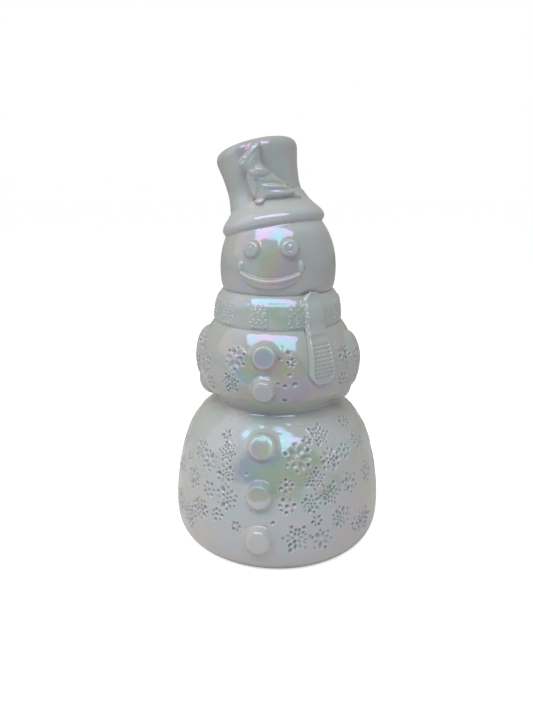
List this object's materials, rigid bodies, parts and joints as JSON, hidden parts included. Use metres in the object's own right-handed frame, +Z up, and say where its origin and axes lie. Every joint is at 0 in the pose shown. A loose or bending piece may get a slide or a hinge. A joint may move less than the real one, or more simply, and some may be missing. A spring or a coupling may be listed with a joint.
{
  "type": "ceramic snowman figurine",
  "caption": "Pearl-glazed ceramic snowman ornament: stacked snowballs with stamped snowflakes, buttons, a wrapped scarf and a crooked hat with a crested bird on its brim.",
  "frame": {"origin": "middle of the flat foot, at table level", "axes": "+Z up through the hat, -Y towards the front of the figure with its face and buttons, +X towards the side with the hanging scarf end"},
  "size_m": [0.1288, 0.1329, 0.2316],
  "materials": {
    "pearl_glaze": "gloss"
  },
  "bodies": {
    "root": {"snowman_casting": "pearl_glaze"}
  },
  "joints": []
}
